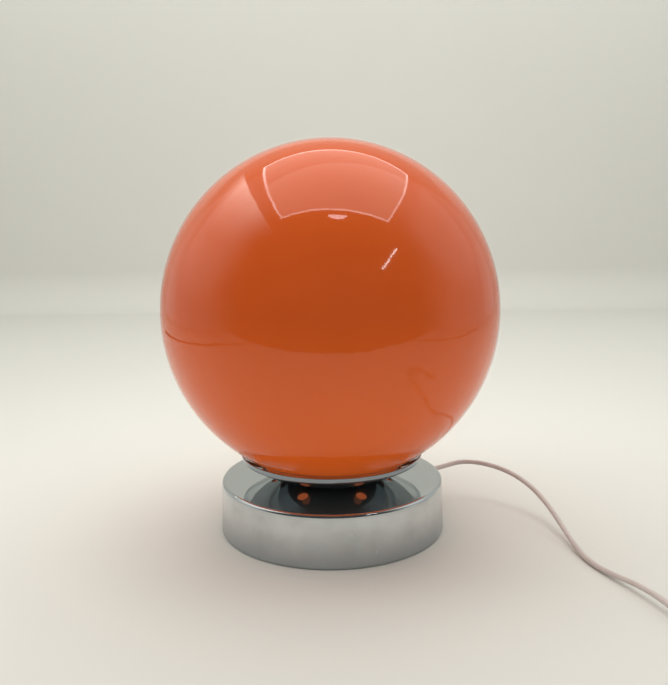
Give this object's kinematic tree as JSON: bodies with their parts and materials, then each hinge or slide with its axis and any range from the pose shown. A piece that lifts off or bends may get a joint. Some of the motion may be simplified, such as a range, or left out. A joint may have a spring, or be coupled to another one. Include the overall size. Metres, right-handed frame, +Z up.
{
  "type": "table lamp",
  "caption": "Table lamp with an orange glass ball standing in a pressed chrome dish on a low round chrome base, with a pale cord, an inline switch and a flat plug.",
  "frame": {"origin": "on the table under the middle of the base", "axes": "+Z up, -Y towards the front, +X to the right seen from the front; the cord leaves the base at its rear right"},
  "size_m": [0.5156, 0.4625, 0.3522],
  "materials": {
    "orange_glass": "glossy",
    "clear_silicone": "satin",
    "chromed_sheet": "mirror",
    "zinc_steel": "satin",
    "black_plate": "satin",
    "black_rubber": "matte",
    "cast_iron": "rough",
    "holder_plastic": "satin",
    "holder_ceramic": "satin",
    "brass": "satin",
    "black_glass": "glossy",
    "bulb_cap_metal": "satin",
    "bulb_glass": "frosted",
    "cord_plastic": "satin",
    "wire_sheath": "satin",
    "switch_plastic": "satin",
    "rocker_plastic": "satin",
    "pin_metal": "satin"
  },
  "bodies": {
    "lamp": {"globe_seat_ring": "clear_silicone", "gallery_dish": "chromed_sheet", "base_drum": "chromed_sheet", "plate_brackets": "zinc_steel", "bottom_plate": "black_plate", "plate_screws": "zinc_steel", "rubber_feet": "black_rubber", "ballast_weight": "cast_iron", "ballast_bolt": "zinc_steel", "ballast_nut": "zinc_steel", "threaded_tube": "zinc_steel", "lower_washer": "zinc_steel", "lower_nut": "zinc_steel", "upper_washer": "zinc_steel", "upper_nut": "zinc_steel", "holder_cap": "holder_plastic", "holder_core": "holder_ceramic", "holder_shell": "holder_plastic", "holder_contacts": "brass", "cord_bushing": "cord_plastic", "inner_cord": "cord_plastic", "core_wires": "wire_sheath", "cord_lamp": "cord_plastic", "switch_bottom": "switch_plastic", "switch_top": "switch_plastic", "switch_screws": "zinc_steel", "cord_tail": "cord_plastic", "cord_coil": "cord_plastic", "cord_end": "cord_plastic", "plug_body": "switch_plastic", "plug_pins": "pin_metal"},
    "globe": {"glass_globe": "orange_glass"},
    "bulb": {"bulb_contact": "black_glass", "bulb_cap": "bulb_cap_metal", "bulb_envelope": "bulb_glass"},
    "rocker": {"switch_rocker": "rocker_plastic"}
  },
  "joints": [
    {"name": "globe_lift", "type": "slide", "parent": "lamp", "child": "globe", "axis": [0, 0, 1], "range_m": [0, 0.2]},
    {"name": "bulb_out", "type": "slide", "parent": "lamp", "child": "bulb", "axis": [0, 0, 1], "range_m": [0, 0.027]},
    {"name": "rocker_tip", "type": "hinge", "parent": "lamp", "child": "rocker", "pos_m": [0.26688, -0.23135, 0.01325], "axis": [-0.9055, -0.4244, 0], "range_deg": [0, 16]}
  ]
}
